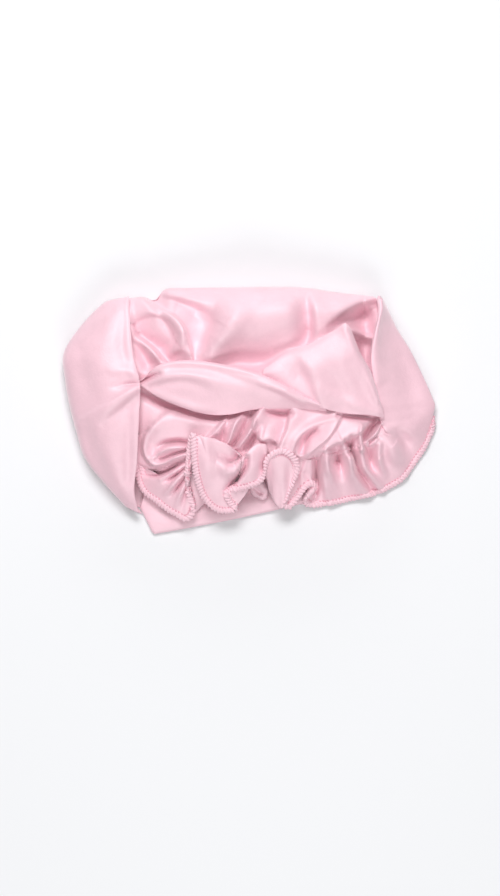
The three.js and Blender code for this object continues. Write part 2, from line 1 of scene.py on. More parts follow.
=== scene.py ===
# A pale pink satin sleep bonnet, folded up and lying flat, seen from straight above.
# Cloth is lofted from tables of places. A place is (x, y, z): x and y in half millimetres on the view's grid,
# counted from its left and its top edge, and z in millimetres above the floor.
import math

import bpy
import numpy as np
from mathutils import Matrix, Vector


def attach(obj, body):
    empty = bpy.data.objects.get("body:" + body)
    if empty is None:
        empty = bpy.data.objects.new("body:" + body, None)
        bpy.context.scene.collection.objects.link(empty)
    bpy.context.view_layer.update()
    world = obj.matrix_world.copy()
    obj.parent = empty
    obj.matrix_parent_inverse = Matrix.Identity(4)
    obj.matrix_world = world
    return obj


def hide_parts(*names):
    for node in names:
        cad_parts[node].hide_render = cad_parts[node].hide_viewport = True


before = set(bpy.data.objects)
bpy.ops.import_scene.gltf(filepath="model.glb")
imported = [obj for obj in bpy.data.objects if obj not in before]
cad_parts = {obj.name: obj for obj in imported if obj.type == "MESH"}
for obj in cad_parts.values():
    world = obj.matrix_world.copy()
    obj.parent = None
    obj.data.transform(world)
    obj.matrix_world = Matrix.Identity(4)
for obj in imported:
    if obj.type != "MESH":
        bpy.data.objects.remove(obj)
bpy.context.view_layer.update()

MM = 1e-3
# Where the view's grid lies in the part's frame, in metres
GRID_MIDDLE = (250.5, 408.0)
GRID_STEP = (0.50134e-3, 0.5e-3)
GRID_SHIFT = (-0.41e-3, 0.48e-3)
# A place times this is in millimetres. The second one also turns y upward.
PER_PLACE = np.array([0.5, 0.5, 1])
PER_PLACE_UPWARD = np.array([0.5, -0.5, 1])

# Lengths from here to the colours are in millimetres unless they say otherwise, and shares go from 0 to 1.
CLOTH = 0.55
THIN_CLOTH = 0.5
# The lowest that a crease presses cloth down
LOWEST = 0.8
# How far cloth is tucked under at a rim
TUCK = (3, 9)

# Creases: how many places for each point of a path, and where they come up to full strength: in height at the
# rim of the top, in distance from the ring, and in height on the casing
PLACES_PER_POINT = 12
RIM_FADE = (2, 7)
RING_FADE = (0, 5)
CASING_FADE = (5, 8)
SEAM_STRENGTH = 1.25

# Waves of the gathers and puckers: a length, and sways with a strength, a length and a start
FINE_GATHER = (3.1, (1.5, 6.1, 0), (1.1, 2.7, 1))
BROAD_GATHER = (7.4, (1.7, 13, 2), (1.2, 5.3, 0))
PUCKER = (2.7, (1.2, 7, 0))

# The top: rows and steps, where it starts out from the ring and up, its first puff, and the depth and reach
# of its fine and broad gathers
TOP_GRID = (400, 230)
TOP_START = (0.2, 0.9)
TOP_PUFF = 0.035
TOP_GATHERS = ((0.3, 4), (0.5, 14))

# The flap: shares of its width, and its edge as shares of the width back from it and drops
FLAP_GRID = (170, 110)
FLAP_HAUNCH = 0.08
FLAP_MIDDLE = 0.5
FLAP_EDGE = ((0.12, -0.2), (0.01, 0), (0, 0.7), (0.04, 2.2), (0.3, 5))

# The folds on the top: where they are highest, and the rolled edge as shares of the width and drops in rolls
BAND_GRID = (170, 90)
BAND_CREST = 0.3
FACET_GRID = (150, 100)
FACET_CREST = 0.42
ROLL = 2.6
ROLLED_EDGE = ((0.3, 2), (0.05, 1), (0, 0.27), (0.018, 0))

# The floor layer: its middle, how far its outline keeps in from the rim, and the corners of the ring that it
# passes at the hidden run, with their number
FLOOR_GRID = (240, 34)
FLOOR_MIDDLE = (215, 430)
FLOOR_INSET = 0.015
FLOOR_RIM_PLACES = 90
FLOOR_CASING = (15.4, 18.5, 20)
FLOOR_HEIGHT = 0.55
FLOOR_RIPPLE = 0.25

# The front fold: lengths inward and heights underneath, then shares of the width and heights on top
FRONT_FOLD_GRID = (120, 60)
FRONT_FOLD_UNDER = ((9, 0.9), (1, 0.7))
FRONT_FOLD_OVER = ((0, 1.4), (0.06, 2.6), (0.3, 3.0), (0.6, 2.8), (1, 2.4))

# The ruffle: where it starts out from the ring and up, and the way over a lap, along (in half millimetres)
# and up
RUFFLE_ROWS_PER_LINE = 12
RUFFLE_STEPS = 44
RUFFLE_START = (-0.2, 0.8)
RUFFLE_LAP = ((2.2, -2.4), (0, 0), (4, 0.3))
# The depth of its fine and broad pleats, its lowest height, and the share of its width where that rises
RUFFLE_FINE = 0.3
RUFFLE_BROAD = 1.1
RUFFLE_LOWEST = 0.6
HEM_RISE = (0.7, 0.95)
# The corners of the ring where its petals end and where it turns underneath
PETALS_END = 12
RUFFLE_TURNS_UNDER = 15.2
SMALL_FOLD_GRID = (40, 30)

# The casing: half its width and thickness, how far it lies below the ring, and how much its puckers swell it
RING_PLACES = 1380
CASING_PLACES = 690
CASING_SIDES = 12
CASING_HALF = (1.4, 0.9)
CASING_DROP = 0.9
PUCKER_DEPTH = 0.28

# The hem's core: half its width and thickness, and how far it lies inward of the edge
CORE_SIDES = 10
CORE_HALF = (1.5, 0.96)
CORE_INWARD = 0.1
# The hem's stitches: their spacing, and the mean and spread of a loop's lean, reach and girth
SEED = 7
STITCH = 1.75
LOOP_TURNS = 14
LOOP_SIDES = 7
LOOP_LEAN = (0.6, 0.1)
LOOP_REACH = (1.25, 0.12)
LOOP_GIRTH = (0.8, 0.05)
# Shares of a loop's girth and of its outward slant, and how far it rises from the cloth
LOOP_FLATNESS = 0.8
LOOP_SLANT = 0.6
LOOP_RISE = 0.6
# The needle's stitches: their distance from the edge, height on the cloth, dip, slant and girth
NEEDLE_STEPS = 5
NEEDLE_SIDES = 6
NEEDLE_INWARD = 2.0
NEEDLE_RISE = 0.45
NEEDLE_DIP = 0.3
NEEDLE_HALF_LENGTH = 0.55
NEEDLE_SLANT = 0.12
NEEDLE_GIRTH = 0.26
# The least share of the squared girth that is left at an end
NEEDLE_END = 0.06

SATIN_TONE = (0.925, 0.595, 0.68)
THREAD_TONE = (0.95, 0.62, 0.705)
# The needle thread is a real stitch, but its darker pink is painted shade for the shaded gaps at the loops'
# inner ends
NEEDLE_TONE_WITH_PAINTED_SHADE = (0.86, 0.42, 0.52)
SHEEN_TONE = (1, 0.93, 0.95, 1)
# What is left of a colour where cloth or thread is darkest
SHADED = 0.9

# The stage, in metres. Each light has a place, a size and a power in watts.
FLOOR_SIZE = 6
FLOOR_TONE = (0.82, 0.825, 0.84, 1)
LIGHT_AIM = (0, 0, 0.02)
LIGHTS = {
    "key": ((-0.12, 0.72, 1.1), (0.6, 0.4), 12),
    "top": ((0.05, 0.0, 1.6), (0.7, 0.7), 4.5),
    "back": ((0.0, 1.4, 0.4), (1.2, 0.3), 4.5),
    "front": ((0.1, -1.0, 0.8), (1.0, 0.5), 6.5),
}
WORLD_TONE = (0.97, 0.98, 1, 1)
WORLD_STRENGTH = 0.2
# The film is 36 mm wide and sees 0.448 m from 2 m away
FILM_WIDTH = 36
VIEW_WIDTH = 0.448
VIEW_DISTANCE = 2.0
CAMERA_PLACE = (0, -0.0195, 2.02)

# The ring of the casing: its front run from left to right, then its hidden run back
RING = [(157,472,12),(172,465,16),(189,459,18),(212,454,18.5),(236,452,18.5),(262,454,18),(284,458,18),
        (304,460,17.5),(324,456,17),(346,450,16.5),(366,444,15.5),(383,431,14.5),(393,409,13),(396,384,11.5),
        (392,361,10),(383,346,7.5),(366,354,4),(340,385,2.6),(308,412,2.6),(275,434,3.2),(240,452,3.5),
        (200,467,4.2),(171,479,7)]

# The top of the bag: corner of the ring, the rim there, and heights from the ring to the rim
BAG = [(-0.4,(95,470),9,8,8,7,4),
       (0.1,(88,460),12.5,10,10,8,5),
       (1.0,(77,432),15.5,13,11,9,5),
       (1.6,(67,386),20,15,12,10,5),
       (2.2,(73,346),22,19,15,11,5),
       (2.9,(105,306),22,21,20,16,6),
       (3.6,(140,296.5),22,23,25,22.5,8),
       (3.95,(156,299.5),22,23,25.5,22,8),
       (4.1,(167,288.5),22.5,23,27,25.5,10),
       (4.5,(190,287.5),23,23,28,26.5,11),
       (5.1,(222,287),23,23,30,28,12),
       (6.0,(264,286.5),23,23,31,29,12),
       (7.0,(303,287),22.5,23,30,28,12),
       (8.2,(332,291),22,22,26,24.5,11),
       (9.4,(353,293.5),21,21,22,20.5,9),
       (10.6,(368,295),15.5,17,17,15,7),
       (11.8,(379,298),12.8,13.5,14,11,5),
       (13.2,(386,313),10,10.5,10.5,8,4)]
BAG_SHARES = (0.15, 0.42, 0.7, 0.9)
# How strongly the bag and the ruffle are gathered at the corners of the ring
GATHERED_AT = (-1, 0, 2.2, 2.8, 5, 7.3, 11, 11.8, 13.5, 15.5, 23)
BAG_GATHERS = (0, 0, 0.1, 0.3, 0.3, 0.3, 0.3, 0.2, 0.2, 0.3, 0.3)
RUFFLE_GATHERS = (0.2, 0.2, 0.2, 0.2, 0.3, 0.6, 0.6, 0.1, 0, 0.4, 0.4)

# The left flap: west rim, height just inside it, crest height, and east edge
LEFT = [((114,306),4,6,(129,304,7)),
        ((107,301),10,15,(130,298,17)),
        ((84,323),13,22,(132,330,24)),
        ((65,352),15,24.5,(135,358,26)),
        ((66,378),16,25.5,(141,382,27)),
        ((70,402),15.5,24.5,(141,402,26)),
        ((77,430),14.5,22.5,(139.5,432,24)),
        ((86,458),12.5,19,(138,462,20)),
        ((106,484),10,13.5,(135,490,14)),
        ((127,507),6,7,(139,513,7))]

# The twisted band: north edge, crest height, south edge
BAND = [((135,381,19.5),20,(135,386,19.5)),
        ((143,380,22),22.5,(143,386,22)),
        ((160,366,25.5),27,(160,396.5,23.5)),
        ((185,361,27.5),29.8,(185,407,24.5)),
        ((212,363,28.5),31,(210,413.5,24.5)),
        ((238,368,28.8),31,(232,413.5,24.5)),
        ((262,375,29),31,(255,409,24.5)),
        ((288,387,29),30,(285,408,24.5)),
        ((308,398,28),28.5,(310,409,24.5)),
        ((324,405,26.5),27,(328,411,24.5))]

# The broad fold to its right
FACET = [((264,370,25.5),26.5,(264,380,25.5)),
         ((285,355,26.5),29,(288,392,26.5)),
         ((310,345,27),30.5,(312,404,26)),
         ((336,331,28.5),31.5,(334,410,25.5)),
         ((348,325.5,29.5),31,(352,413,24.5)),
         ((360,352,26.5),28.5,(368,414,23)),
         ((372,374,24),25.2,(379,416,21.5)),
         ((381,403,21),21.2,(385,417,20))]

# The front fold of the floor layer: its edge and where it ends under the mouth
UNDER = [((141,508),(148,484)),
         ((149,524),(157,479)),
         ((154,533),(164,477)),
         ((161,533),(172,475)),
         ((200,526),(210,470)),
         ((250,516),(252,462)),
         ((302,504),(290,462)),
         ((320,498),(304,462))]

# The ruffle: corner of the ring, lap or None, bend, and the middle of the hem
RUFFLE = [(0,None,(148,468,11.5),(139.5,459,10.5)),
          (0.45,None,(151,476,12),(138.3,470,9.6)),
          (0.85,None,(158,480,13.5),(141,483,8.8)),
          (1.2,None,(165,484,14.5),(147,493,8)),
          (1.5,None,(170,487,14.5),(157,500,8)),
          (1.7,None,(175,490,14.5),(167,508,8)),
          (1.9,None,(180,492,14),(177,514,8)),
          (2.1,None,(185,492,14),(187,519,8)),
          (2.3,None,(190,487,15),(194,511,9.5)),
          (2.45,None,(190,476,17.5),(191,497,12.5)),
          (2.6,None,(191,466,21.5),(188.5,478,18)),
          (2.75,None,(193,458,22.5),(190.5,452,22.5)),
          (2.95,(203,438,27),(200,436.5,27.6),(195,434.5,28)),
          (3.2,(205,437,28),(208,456,26.5),(195.5,452,26.5)),
          (3.4,(213,438.5,27.5),(213,466,24.5),(198.5,477,21.5)),
          (3.55,(220,441,27),(219,474,22),(205,496,16)),
          (3.7,(227,444,26),(225,480,20.5),(216,508,13.5)),
          (3.85,(233,448,24.5),(236,479,19.5),(228,511,12.6)),
          (4,(240,453.5,22.5),(250,485,16.5),(236.5,508.5,12.8)),
          (4.08,(243,456.5,22),(245,486,17.5),(231,502,14.8)),
          (4.16,(246,456,22.5),(239,480,20),(228,496,17)),
          (4.3,(249,453,23.3),(241,476,21.4),(229.5,489.5,18.5)),
          (4.45,(253,448,24),(248,473,21.6),(239,488.5,18)),
          (4.65,(258,444,24.3),(254,470,21),(251,485.5,17.5)),
          (4.85,(263,444,24),(260,467,20.5),(260,481.5,17.5)),
          (5,(268,448,22.5),(265,468,18),(265.5,473,20)),
          (5.2,None,(271,490,12.5),(268.5,460,23)),
          (5.5,None,(276,500,12.4),(275,453.5,25)),
          (5.8,None,(281,506,12),(284,451,25.5)),
          (6.1,None,(285,506,12),(293,456,24)),
          (6.4,None,(288,500,12.6),(298,466,21)),
          (6.6,None,(290,490,13),(295,480,17.5)),
          (6.75,None,(292,484,13.5),(290,492,14)),
          (6.9,None,(294,482,13),(286,503,12)),
          (7,None,(297,480,13),(290,507,10)),
          (7.1,None,(300,477,13.5),(298,498,10.5)),
          (7.2,None,(303,474,14.5),(306,487,12.5)),
          (7.35,None,(307,474,13.5),(313,483,11)),
          (7.5,None,(312,477,12.5),(316,488,10)),
          (7.6,None,(312,484,9.5),(307,497.5,7.5)),
          (7.72,None,(315,488,7.5),(309,504,4)),
          (7.85,None,(319,483,9),(316,505,2.5)),
          (8.2,None,(331,481,9.5),(334,503,2.2)),
          (8.7,None,(348,475,10.5),(352,499,2.2)),
          (9.3,None,(364,470,11),(372,494.5,2.2)),
          (9.9,None,(380,463,11),(390,487.5,2.2)),
          (10.4,None,(392,454,11),(405,477.5,2.2)),
          (10.9,None,(402,442,11),(418,460,2.2)),
          (11.4,(385,428,15.5),(414,425,11),(429,442,2.2)),
          (11.75,(382,419,17),(427,414,8.5),(435.5,424,2.7)),
          (12.1,(381.5,409,18),(434,405,6.5),(431,413,2.3)),
          (12.4,(380.5,398,18.5),(432.5,396,6.5),(421,402,2.2)),
          (13,(375,376,20.5),(424,376,6.5),(412,382,2.2)),
          (13.6,(372.5,355,21.5),(411,349,7),(401,357,2.2)),
          (14.1,(375.5,333,21.5),(399,329,7),(392,339,2.2)),
          (14.5,(379.5,312,20),(391,312,7.5),(388,326,2.2)),
          (14.85,(379,299.5,17.5),(383,299,11),(386,316,2.2)),
          (15.1,(382,306,9),(386,308,5.5),(387,320,2.2)),
          (15.5,None,(390.5,337,5.2),(394,343,2.3)),
          (16.2,None,(374,364,3),(386,374,2.2)),
          (17,None,(351,396,2.6),(366,410,2.2)),
          (18,None,(318,425,2.8),(330,442,2.4)),
          (19,None,(283,449,3.8),(292,466,4.6)),
          (20,None,(246,468,4.2),(252,484,4.8)),
          (21,None,(205,481,4.4),(206,497,4.8)),
          (22,None,(169,490,5.6),(162,499,5)),
          (22.5,None,(156,484,8),(147,484,7.8))]
# Ridges and dents: a path, its rise in millimetres from start to end, and its widths to the left and right in
# half millimetres
TOP_CREASES = [
    # the hood of cloth beside the left flap: shaded corner, hollow, inner edge, outer edge
    ([(139,338),(144,352),(150,364)], (-3,-5,-5), (7,7)),
    ([(140,322),(154,318),(167,323),(174,334)], (-2,-3,-3.5,-2.5), (3.5,12)),
    ([(142,333),(152,342),(160,349),(166,358)], (-5,-8,-9,-7), (15,4)),
    ([(131,301),(131,318),(133,329),(138,338),(150,347.5),(160,356),(167,363)],
     (1.6,2.4,2.8,3.2,3.4,3.4,3), (3.2,5)),
    ([(145,299),(162,310.5),(176,318.5),(184,328),(189,341),(193,360)], (3,4,4.5,5,5,3), (2.4,9)),
    ([(172,354),(182,344),(184,334)], (2,3,2), (5,5)),
    # the shade beside it, and the long bright ridge
    ([(224,286),(216,302),(209,322),(200,341),(195,354)], (0,-3,-7,-6,-2), (9,22)),
    ([(162,298),(180,303),(198,310),(212,318)], (-3,-7.5,-6,-1), (5,15)),
    ([(206,363),(222,342),(236,320),(246,300)], (3.5,6,5,0), (11,15)),
    ([(216,366),(236,362),(262,362),(285,350),(313,340),(336,329)], (-3,-9,-11,-9,-6,-2), (22,8)),
    # the dent at the back edge, and the edge of the pocket
    ([(305,285),(305,293)], (1.6,0.6), (4,4)),
    ([(305,288),(307,300),(309,315),(310,330),(306,348)], (0,-4,-7.5,-7,-3), (5,11)),
    ([(326,322),(341,312),(356,304),(370,298),(377,296)], (0.3,2,4.5,5.5,5), (14,6)),
    ([(337,327),(350,320),(364,313)], (-4,-6,-7), (7,8)),
    ([(366,318),(366,340),(366,362)], (-8,-13,-13), (10,13)),
    ([(349,327),(361,333),(375,339)], (2.5,5.5,5), (3.5,5)),
    # the shade below the band, the round lobe, its outline and the folds that run to its gather
    ([(142,391),(166,402),(194,412),(222,415),(250,410)], (-5,-8,-9,-9,-6), (12,5)),
    ([(141,434.5),(149,433),(153,428.5),(160,421),(167,415),(176,411),(194,409.5)],
     (1.6,1.8,2,2,2,2,1.4), (1.6,9)),
    ([(158,424),(174,421),(192,420)], (2,2.5,2), (8,12)),
    ([(153,428.5),(147.5,437),(145.5,446),(146,453),(149,459),(154,464),(162,466),(170,465.5),(178,462),
      (186,458)],
     (1.6,3,4,4.4,4.6,4.8,4.8,4.4,3.4,1.6), (6,2)),
    ([(158,447.5),(166,443.2),(175,441.5),(184,441.5),(192,445)], (-1,-4,-5.5,-5.5,-4), (2.6,3.4)),
    ([(155,458),(163,452),(172,448),(191,447)], (2,3,3,2), (2.8,2.6)),
    ([(163,459),(174,454.3),(190,450)], (-2,-3.6,-3.6), (2.2,2.2)),
    ([(168,463),(178,458),(190,453.5)], (1.6,2.2,1.8), (2.4,2.4)),
    # the pleats in the middle that run to the mouth
    ([(231,413),(223,424.5),(211,437),(203,444)], (3,3.6,3.4,1), (6,1.8)),
    ([(233,414),(226,428),(223,442)], (-1.6,-3,-3), (2.2,2)),
    ([(244,413),(236,426),(230,443)], (3,4.6,4.4), (2.8,2.8)),
    ([(252,414),(245,429),(235,444)], (-4,-7,-6.5), (3.4,3)),
    ([(256,421),(251,432),(244,442),(237,449)], (2.6,4.2,4.4,2.4), (2.2,2.4)),
    ([(259,428),(254,440),(245,454)], (-3,-7,-6), (3.4,3)),
    ([(262,410),(256.5,419),(255.5,427),(259,435),(264,440),(271,438.5),(277,441.5),(279,447)],
     (3.2,4,4.4,4.4,4,3.4,3.2,2.2), (9,1.7)),
    ([(270,411),(281,413),(291,413)], (-4,-7,-4), (3,4)),
    ([(289,416),(286,428),(280,444)], (-2,-3,-2.5), (1.8,8)),
    ([(292,410),(288.5,427),(281,448)], (2.6,3.2,2.6), (14,1.8)),
    ([(337,419),(322,423),(306,432),(297,442),(292,455)], (0.5,2.2,3.2,3.2,2), (1.8,6)),
    ([(316,431),(308,438),(303,452)], (-3,-5.5,-4), (3,3.4)),
    ([(343,413),(338,423.5),(332,433),(325,441),(314.5,449.5),(303,461)], (2.6,3.4,3.8,3.8,3.6,3), (1.7,11)),
    ([(384,416),(372,423.5),(360,432),(348.5,439),(332,445),(324,452),(317,459)],
     (2.6,3.6,4.2,4.4,4.4,4,2.6), (1.9,11)),
    ([(340,414.5),(360,416.5),(380,418.5)], (-3,-4.5,-3.5), (2.4,3)),
]
# Folds that cross the seam between the bag and the ruffle
SEAM_CREASES = [
    ([(139,466),(147,471.5),(157,473),(166,471),(176,466),(186,460)], (-1,-4,-5,-5,-4.5,-2), (3,3.4)),
    # the ears of cloth and the gathered folds at the right
    ([(362.5,427),(361.5,438),(363,449)], (1.4,4,3.4), (2.2,2.4)),
    ([(377,420),(372,428),(367,437)], (-3,-5.5,-4), (3.8,3.4)),
    ([(382,424),(376,434),(368,441),(370,447),(377,440)], (2,4,4,3,2), (2,2.2)),
    ([(353,438),(352,445),(351,452)], (-3,-5,-4), (2.6,2.6)),
    ([(338,447),(339,453),(338,460)], (-2,-4,-4.5), (3.4,3.4)),
    ([(328,452),(328,462),(331,474),(340,492)], (2.4,3.8,3.4,0.8), (3.4,3.4)),
    ([(340,456),(342,464),(344,475)], (-5,-5,-1.5), (4,4.4)),
    ([(349,444),(352,458),(353,476)], (2.4,4.2,1.8), (2.4,3.4)),
    ([(317.5,459),(318,474),(319.5,486),(317,499)], (-5,-7.5,-7,-1.5), (2.2,3)),
    ([(325,457),(325,474),(327,488),(329,499)], (2.4,4,3.4,1.4), (8,2.2)),
    ([(343,442),(349.5,458),(354.5,472),(361,484),(370,494)], (1.6,3.6,4,3.6,1.6), (2.2,8)),
    ([(347.5,441),(355.6,456.5),(360.5,470.6),(367.4,480),(377,492)], (-4,-9,-8,-6.5,-2.5), (2.4,2.4)),
    ([(361.5,450),(365,466),(371,475),(382,488)], (2.6,4.4,4,2), (4,2)),
    ([(369,449),(371.5,458),(374,469)], (-4,-6,-2), (3.8,3.4)),
    ([(380,444),(381,460),(386,474)], (2.6,4.2,1.4), (3.4,3)),
    ([(386,434),(393,447),(398,460),(402,472)], (2.6,4,3.2,1.2), (8,8)),
    ([(401,430),(407,442),(411,454)], (-1,-2,-0.6), (6,6)),
]
FLAP_CREASES = [
    # the star of creases at the right edge
    ([(142,387),(130,393),(112,404),(84,420)], (1.5,2.6,2.6,1.4), (10,3)),
    ([(141,384),(131,384),(116,387)], (-1.6,-2.4,-0.8), (3,3.4)),
    ([(141,376),(130,371),(116,372)], (1.0,1.6,0.7), (4,6)),
    ([(141,394),(126,407),(106,424)], (-1.4,-2.4,-1.2), (8,4)),
    # the broad roll of the flap and the soft hollows on either side
    ([(126,318),(124,345),(130,368)], (-0.6,-1.0,-0.6), (5,6)),
    ([(82,352),(86,378),(90,400)], (-1.2,-1.8,-0.6), (9,11)),
    ([(104,430),(112,462),(130,498)], (0.8,1.4,0.8), (12,10)),
    ([(131,420),(130,450),(129,480)], (-0.7,-1.3,-1.0), (6,5)),
    ([(86,424),(92,446),(104,472)], (-0.9,-1.5,-0.8), (8,7)),
]
BAND_CREASES = [
    ([(142,381),(149,378),(160,374)], (-3.5,-5.5,-2), (2.6,3.2)),
    ([(144,385),(160,379),(182,375),(205,378),(228,387)], (0.5,1.0,1.1,0.8,0.3), (3,4)),
    ([(152,388),(172,383),(192,383),(216,393)], (-0.8,-1.2,-1.0,-0.3), (4,5)),
    ([(172,369),(205,370),(240,380),(280,394)], (-0.6,-1.2,-1.3,-0.7), (4,5)),
    ([(150,371),(166,365),(184,363),(212,365),(240,370),(262,377),(288,389)],
     (0.6,1.1,1.3,1.3,1.2,1.1,0.8), (2.4,3.4)),
    ([(150,391),(172,400),(196,408),(216,410)], (0.5,1.0,1.2,0.6), (5,3)),
    ([(262,383),(286,392),(304,403)], (0.5,1.1,0.8), (3,3)),
]
FACET_CREASES = [
    ([(290,370),(300,374),(311,382)], (-1.2,-2.6,-1.4), (9,9)),
    ([(300,352),(311,372),(318,390),(324,406)], (0.4,1.6,2.4,1.6), (9,5)),
    ([(330,368),(340,384),(346,402)], (-0.8,-1.6,-0.8), (8,9)),
    ([(352,366),(362,384),(371,404)], (-0.8,-1.5,-0.8), (8,7)),
    ([(346,330),(354,348),(366,370),(378,402)], (0.7,1.1,1.1,0.7), (2.4,3.4)),
    ([(330,394),(352,404),(378,413)], (0.6,1.2,0.7), (5,4)),
]
RUFFLE_CREASES = [
    # the folds of the first petal
    ([(185,465),(175,471.5),(162,479)], (2,2.6,0.8), (2.4,2.6)),
    ([(185,469),(176,476),(166,482)], (-2.4,-3.8,-0.8), (2.2,2.2)),
    ([(186,472.5),(177,482),(167,493)], (2.2,3,0.8), (2.4,2.6)),
    ([(187,477),(179,487),(172,496)], (-2.4,-3.8,-0.8), (2,2.2)),
    ([(188,482),(183,492),(177,505)], (1.8,2.4,0.8), (2.2,2.4)),
    ([(189,484),(186,496),(183,508)], (-1.8,-2.6,-0.6), (1.8,1.8)),
    # the second petal: its smiling ridge, the red valley and the lobe beside it
    ([(206,446),(208,468),(214,492)], (1,1.8,0.8), (9,7)),
    ([(219,462),(225,466.5),(231,468.8),(238,467.5),(243,463),(246,456)], (1.6,4,5,5,4.4,2.8), (2,6.5)),
    ([(221,457),(231,462.5),(238,460),(241,453)], (-1.5,-4.5,-5.5,-3.5), (5,2.6)),
    ([(248,458),(246,467),(240,476.5),(233,484),(229,489)], (-5,-8,-8,-6.5,-3), (2.8,3)),
    ([(256,452),(255,466),(252,480)], (1.6,2.6,1.2), (6,5)),
    # the third petal
    ([(278,462),(281,474),(284,490)], (0.8,1.4,0.6), (7,6)),
    ([(290,463),(290,476),(287,492)], (-0.8,-1.4,-0.6), (4,4)),
    # the lobes at the right
    ([(398,424),(414,432),(426,444)], (1,1.8,0.6), (6,6)),
    ([(332,476),(338,487),(345,498)], (-1,-1.6,-0.4), (4,5)),
    ([(390,462),(400,466),(410,466)], (-0.8,-1.4,-0.4), (5,5)),
]
BACK_CREASES = [
    ([(385,330),(399,356),(411,388),(414,412)], (-1.0,-2.2,-2.4,-1.0), (10,12)),
    ([(380,314),(378,335),(378,356),(380,382)], (0.9,1.4,1.4,0.8), (2.6,4)),
]
UNDER_CREASES = [
    ([(150,528),(200,513),(250,504),(300,501)], (0.3,0.8,0.9,0.4), (9,9)),
    ([(160,505),(220,498),(270,490)], (-0.4,-0.8,-0.4), (9,9)),
    ([(170,500),(176,516),(182,528)], (0.5,0.8,0.4), (3,5)),
    ([(230,500),(238,510),(242,517)], (0.4,0.6,0.3), (3,5)),
]
# The two small folds of the ruffle below the petals, in sections from the back to the front
RUFFLE_TUCK = [[(187,474,13), (191,470,15), (196,470,15), (201,474,13)],
               [(188,488,10), (192,487,12.5), (199,487,12.5), (204,489,10)],
               [(189,502,6.5), (193,501,9.5), (200,500,9.5), (208,501,6.5)],
               [(191,515,3.5), (194,514.5,5.5), (199,510,5.8), (205,504,4.5)]]
RUFFLE_LOOP = [[(250,484,7), (254,478,10), (262,479,11), (268,485,8)],
               [(252,491,7), (254,487,10), (264,489,10.5), (269,492,8)],
               [(255,496,6), (259,496,8), (264,498,8), (268,497,7)],
               [(257,497,5), (261,499,6), (264,500,6), (267,499,5)]]
RUFFLE_LOOP_CREASES = [([(256,488),(262,493),(267,493)], (-2,-3,-1), (3,3))]


def circle(count):
    """Evenly spaced angles round a turn."""
    return np.linspace(0, 2 * math.pi, count, endpoint=False)


def unit(vectors):
    """Each vector at length 1."""
    return vectors / np.maximum(np.linalg.norm(vectors, axis=-1, keepdims=True), 1e-9)


def square_to(vectors, along):
    """Each vector turned square to a direction, at length 1."""
    return unit(vectors - along * (vectors * along).sum(-1, keepdims=True))


def smoothstep(x, low, high):
    t = np.clip((x - low) / (high - low), 0, 1)
    return t * t * (3 - 2 * t)


def uneven_wave(s, length, *sways):
    """A wave from -1 to 1 along a line, drawn out and pressed together by sways."""
    sway = sum(size * np.sin(s / span + start) for size, span, start in sways)
    return np.sin(2 * math.pi * s / length + sway)


def mixed(a, b, share, z=None):
    """The place at a share of the way from one place to another, at its own height if that is given."""
    p = np.asarray(a, float) * (1 - share) + np.asarray(b, float) * share
    if z is not None:
        p[2] = z
    return p


def spline(points, count, closed=False):
    """Evenly spaced places on a smooth curve through some, or rows of them on a smooth sheet."""
    p = np.asarray(points, float)
    n = len(p)
    if closed:
        t = np.arange(count) * n / count
        p = np.concatenate([p[-1:], p, p[:2]])
    else:
        t = np.linspace(0, n - 1, count)
        p = np.concatenate([2 * p[:1] - p[1:2], p, 2 * p[-1:] - p[-2:-1]])
    i = np.minimum(t.astype(int), len(p) - 4)
    f = (t - i).reshape((-1,) + (1,) * (p.ndim - 1))
    a, b, c, d = p[i], p[i + 1], p[i + 2], p[i + 3]
    return 0.5 * (2 * b + (c - a) * f + (2 * a - 5 * b + 4 * c - d) * f**2 + (3 * b - a - 3 * c + d) * f**3)


def loft(sections, size, closed=False):
    """A smooth grid of places through sections across a piece. size is its rows and its steps across."""
    rows, steps = size
    lines = spline(sections, rows, closed)
    return spline(lines.transpose(1, 0, 2), steps).transpose(1, 0, 2)


def upward_normals(grid, closed=False):
    """The direction square to the cloth at each place of a grid, on its upper side."""
    g = grid * PER_PLACE_UPWARD
    along = np.roll(g, -1, 0) - np.roll(g, 1, 0) if closed else np.gradient(g, axis=0)
    normals = unit(np.cross(along, np.gradient(g, axis=1)))
    return normals * np.sign(normals[..., 2:3] + 1e-9)


def travelled(grid):
    """Millimetres along the cloth from the first place of each row."""
    g = grid * PER_PLACE
    return np.cumsum(np.linalg.norm(np.diff(g, axis=1, prepend=g[:, :1]), axis=2), 1)


def crease(xy, path, rise, widths):
    """A ridge or dent along a path. Its widths are to the left and right of the path as seen from above."""
    line = spline(np.array(path, float), PLACES_PER_POINT * len(path))
    a, d = line[:-1], np.diff(line, axis=0)
    flat = xy.reshape(-1, 2)
    nearest = np.full(len(flat), np.inf)
    share = np.zeros(len(flat))
    side = np.zeros(len(flat))
    for k in range(len(a)):
        w = flat - a[k]
        t = np.clip((w @ d[k]) / (d[k] @ d[k]), 0, 1)
        off = w - t[:, None] * d[k]
        far = (off**2).sum(1)
        near = far < nearest
        nearest[near] = far[near]
        share[near] = (k + t[near]) / len(a)
        side[near] = d[k][0] * off[near][:, 1] - d[k][1] * off[near][:, 0]
    width = np.where(side > 0, widths[1], widths[0])
    heights = np.interp(share, np.linspace(0, 1, len(rise)), rise)
    return (heights * np.exp(-nearest / width**2)).reshape(xy.shape[:2])


def shaped(grid, creases, above=(0, 1), fade=1):
    """Raises and lowers the upper face of a grid by creases, fully from the second height up."""
    facing_up = smoothstep(upward_normals(grid)[..., 2], 0, 0.25)
    total = sum(crease(grid[..., :2], *c) for c in creases)
    out = grid.copy()
    out[..., 2] += facing_up * smoothstep(grid[..., 2], *above) * fade * total
    out[..., 2] = np.maximum(out[..., 2], np.minimum(grid[..., 2], LOWEST))
    return out


